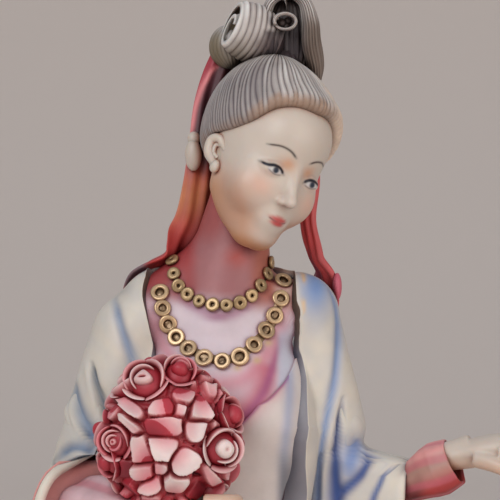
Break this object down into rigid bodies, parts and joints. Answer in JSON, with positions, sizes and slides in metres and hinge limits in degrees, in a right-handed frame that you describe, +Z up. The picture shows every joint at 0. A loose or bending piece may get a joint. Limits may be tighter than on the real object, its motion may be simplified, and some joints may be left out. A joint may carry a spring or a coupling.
{
  "type": "lady figurine holding roses",
  "caption": "Standing cast figurine of a lady in a wide-sleeved robe, hair in a high knot, holding a bunch of roses and reaching out one hand, on a low oval base.",
  "frame": {"origin": "centre of the underside of the oval base", "axes": "+Z up the figure, -Y out of her front, +X towards her left hand"},
  "size_m": [0.1178, 0.078, 0.3118],
  "materials": {
    "painted_resin": "hand-painted cast resin, ivory with thin washes of blue, rose, grey-brown and gold, satin"
  },
  "bodies": {
    "root": {"lady_figure": "painted_resin"}
  },
  "joints": []
}
